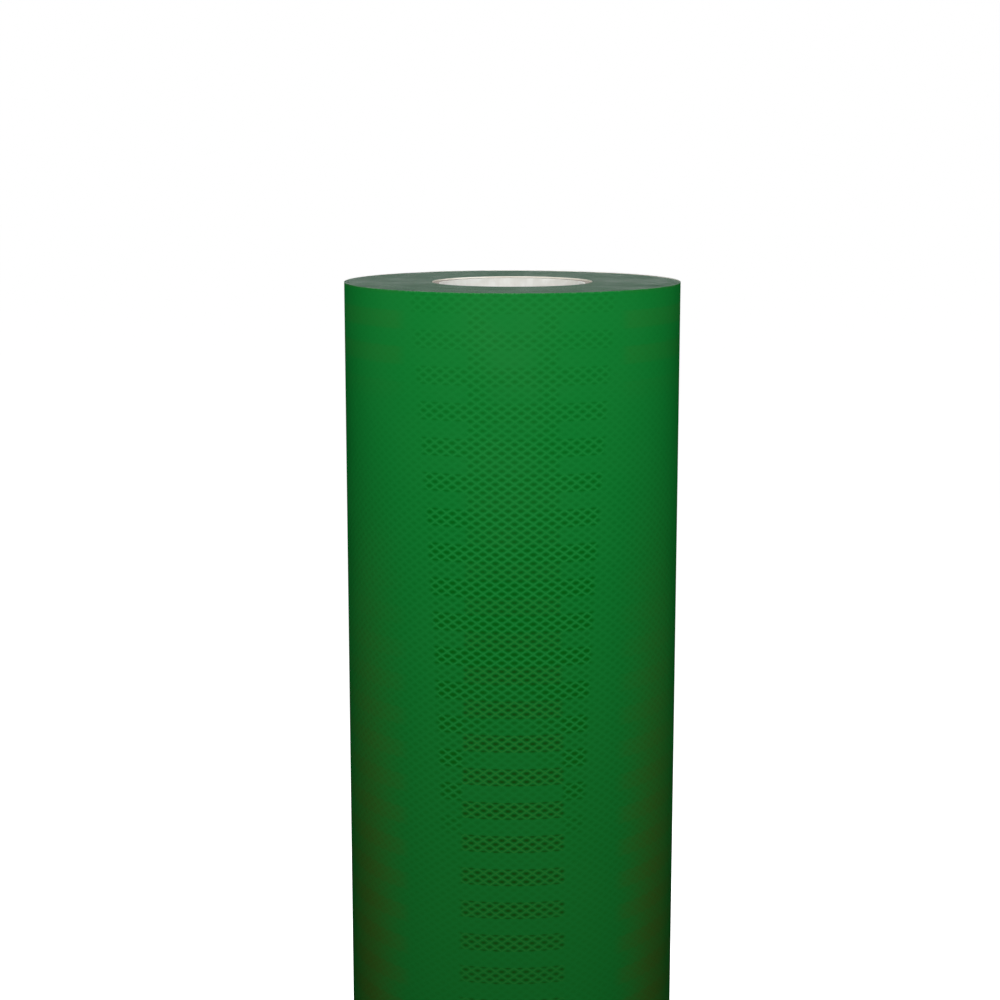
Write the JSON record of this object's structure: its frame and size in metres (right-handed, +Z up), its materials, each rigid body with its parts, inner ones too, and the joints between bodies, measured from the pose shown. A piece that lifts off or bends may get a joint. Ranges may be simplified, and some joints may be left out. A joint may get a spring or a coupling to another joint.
{
  "type": "roll of reflective sheeting",
  "caption": "Roll of green prismatic reflective sheeting wound on an open paper core, with a loose free end and its release liner.",
  "frame": {"origin": "centre of the lower end, on the roll's axis, where it stands", "axes": "+Z up along the roll's axis; -Y is the side away from the free end, which is the side that faces forward"},
  "size_m": [0.1772, 0.178, 0.61],
  "materials": {
    "white_paper": "matte",
    "chipboard": "matte",
    "kraft_paper": "matte",
    "starter_tape": "satin",
    "wound_edges": "satin",
    "release_liner": "satin",
    "adhesive": "satin",
    "seal_film": "satin",
    "prism_film": "gloss",
    "face_film": "gloss",
    "end_tape": "gloss"
  },
  "bodies": {
    "roll": {"core_lining_ply": "white_paper", "core_board_ply_1": "chipboard", "core_board_ply_2": "chipboard", "core_board_ply_3": "chipboard", "core_board_ply_4": "chipboard", "core_board_ply_5": "chipboard", "core_board_ply_6": "chipboard", "core_board_ply_7": "chipboard", "core_kraft_ply": "kraft_paper", "starter_tape": "starter_tape", "wound_turns": "wound_edges", "outer_liner": "release_liner", "outer_adhesive": "adhesive", "outer_seal_film": "seal_film", "outer_prism_film": "prism_film", "outer_face_film": "face_film"},
    "sheeting_tail": {"tail_adhesive": "adhesive", "tail_seal_film": "seal_film", "tail_prism_film": "prism_film", "tail_face_film": "face_film", "end_tape_upper": "end_tape", "end_tape_lower": "end_tape"},
    "liner_tail": {"tail_liner": "release_liner"}
  },
  "joints": [
    {"name": "tail_lift", "type": "hinge", "parent": "roll", "child": "sheeting_tail", "pos_m": [0.03045, 0.08391, 0.305], "axis": [0, 0, -1], "range_deg": [0, 60], "stiffness_Nm_per_rad": 0.1},
    {"name": "liner_lift", "type": "hinge", "parent": "roll", "child": "liner_tail", "pos_m": [0.03045, 0.08391, 0.305], "axis": [0, 0, -1], "range_deg": [0, 36]}
  ],
  "couplings": [
    {"joint": "liner_lift", "follows": "tail_lift", "ratio": 0.6}
  ]
}
